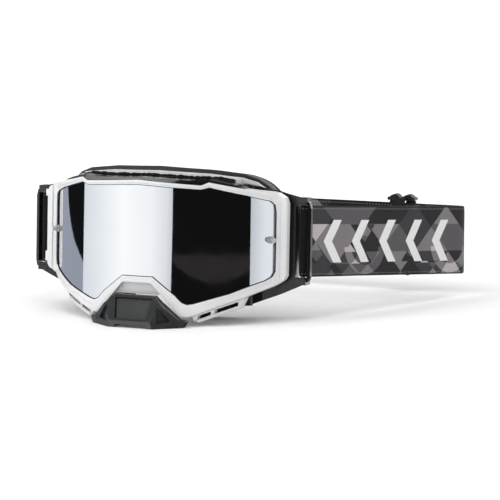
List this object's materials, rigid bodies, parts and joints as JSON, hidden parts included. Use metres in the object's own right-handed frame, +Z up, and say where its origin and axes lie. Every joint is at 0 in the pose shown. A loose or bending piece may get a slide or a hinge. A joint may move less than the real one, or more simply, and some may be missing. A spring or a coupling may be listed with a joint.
{
  "type": "motorcycle goggles",
  "caption": "Goggles with a curved mirrored lens, pale frame, foam face pad, hinged outriggers, nose guard and an elastic head strap with a slider.",
  "frame": {"origin": "middle of the bounding box at the ground", "axes": "+Z up, the lens faces -Y, +X to the wearer's left"},
  "size_m": [0.2568, 0.2261, 0.1003],
  "materials": {
    "frame_white": "satin white moulded plastic",
    "bezel_white": "satin white moulded plastic",
    "lens_mirror": "silver mirror coating on clear sheet",
    "seal_black": "matt black rubber",
    "post_grey": "light grey moulded plastic",
    "gloss_black": "gloss black plastic",
    "vent_foam": "open-cell black foam",
    "flange_charcoal": "soft charcoal elastomer",
    "foam_dark": "dense foam",
    "foam_grey": "open foam",
    "fleece_black": "fleece",
    "guard_charcoal": "satin charcoal plastic",
    "guard_panel": "dark plastic",
    "outrigger_black": "gloss black plastic",
    "steel": "plain steel",
    "strap_web": "woven elastic webbing",
    "silicone": "clear silicone beads",
    "slider_black": "black moulded plastic",
    "strap_plain": "plain black webbing"
  },
  "bodies": {
    "goggles": {"frame_body": "frame_white", "front_bezel": "bezel_white", "lens": "lens_mirror", "lens_gasket": "seal_black", "tear_off_posts": "post_grey", "post_washers": "post_grey", "top_insert": "gloss_black", "top_vent_foam": "vent_foam", "lower_rail_left": "frame_white", "lower_rail_right": "frame_white", "rail_foam_left": "vent_foam", "rail_foam_right": "vent_foam", "face_flange": "flange_charcoal", "foam_base": "foam_dark", "foam_middle": "foam_grey", "face_fleece": "fleece_black", "hinge_pins": "steel", "strap": "strap_web", "strap_fold_left": "strap_web", "strap_fold_right": "strap_web", "strap_grip": "silicone"},
    "nose_guard_body": {"nose_guard": "guard_charcoal", "nose_panel": "guard_panel"},
    "outrigger_left_body": {"outrigger_left": "outrigger_black", "strap_loop_left": "strap_web", "strap_bar_left": "steel"},
    "outrigger_right_body": {"outrigger_right": "outrigger_black", "strap_loop_right": "strap_web", "strap_bar_right": "steel"},
    "slider_body": {"slider_frame": "slider_black", "slider_bars": "steel", "slider_wraps": "strap_plain"}
  },
  "joints": [
    {"name": "outrigger_left_hinge", "type": "hinge", "parent": "goggles", "child": "outrigger_left_body", "pos_m": [-0.0898, -0.05836, 0.04899], "axis": [0, -0.0499, -0.9988], "range_deg": [-4, 5]},
    {"name": "outrigger_right_hinge", "type": "hinge", "parent": "goggles", "child": "outrigger_right_body", "pos_m": [0.0322, -0.05836, 0.04899], "axis": [0, 0.0499, 0.9988], "range_deg": [-4, 5]},
    {"name": "nose_guard_pull", "type": "slide", "parent": "goggles", "child": "nose_guard_body", "axis": [0, -0.9988, 0.0499], "range_m": [0, 0.025]},
    {"name": "slider_adjust", "type": "slide", "parent": "goggles", "child": "slider_body", "axis": [1, 0, 0], "range_m": [-0.015, 0.015]}
  ]
}
